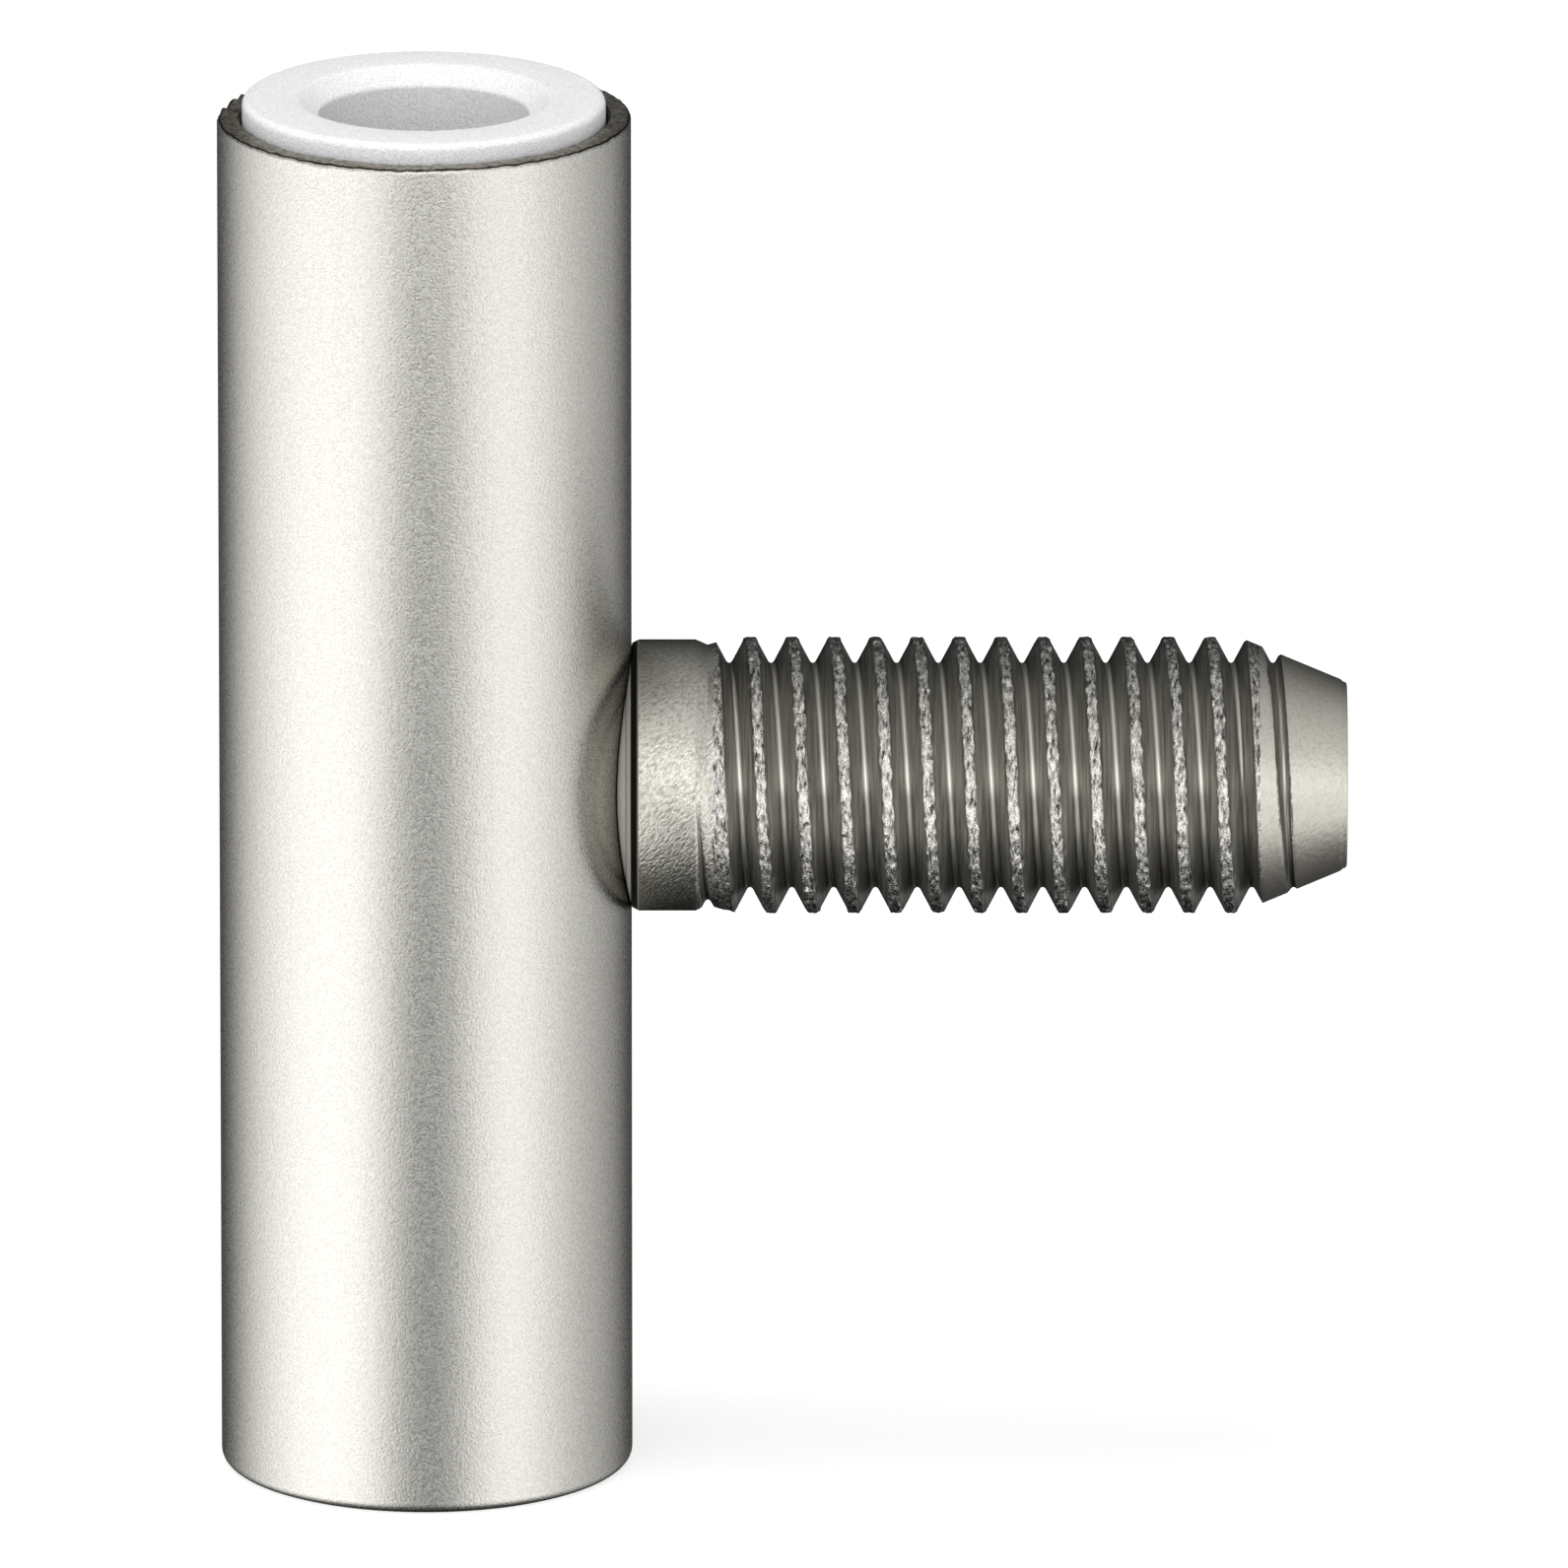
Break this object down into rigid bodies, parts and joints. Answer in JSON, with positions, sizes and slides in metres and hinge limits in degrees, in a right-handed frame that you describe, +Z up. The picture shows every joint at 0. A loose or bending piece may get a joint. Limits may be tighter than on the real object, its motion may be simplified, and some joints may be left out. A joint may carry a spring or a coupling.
{
  "type": "door hinge frame part",
  "caption": "Frame half of a screw-in door hinge: upright round steel knuckle with a white plastic pin bush in its open top and a threaded stud standing out of its side.",
  "frame": {"origin": "centre of the knuckle's flat bottom face, on the hinge pin's axis", "axes": "+Z up along the hinge pin towards the bush, +X out along the threaded stud"},
  "size_m": [0.0405, 0.0148, 0.0507],
  "materials": {
    "satin_nickel": "satin nickel plate with a very fine even grain",
    "white_acetal": "smooth satin white moulding",
    "rolled_steel": "plain zinc-grey steel with rolled thread crests"
  },
  "bodies": {
    "root": {"hinge_knuckle": "satin_nickel", "bearing_bush": "white_acetal", "threaded_stud": "rolled_steel"}
  },
  "joints": []
}
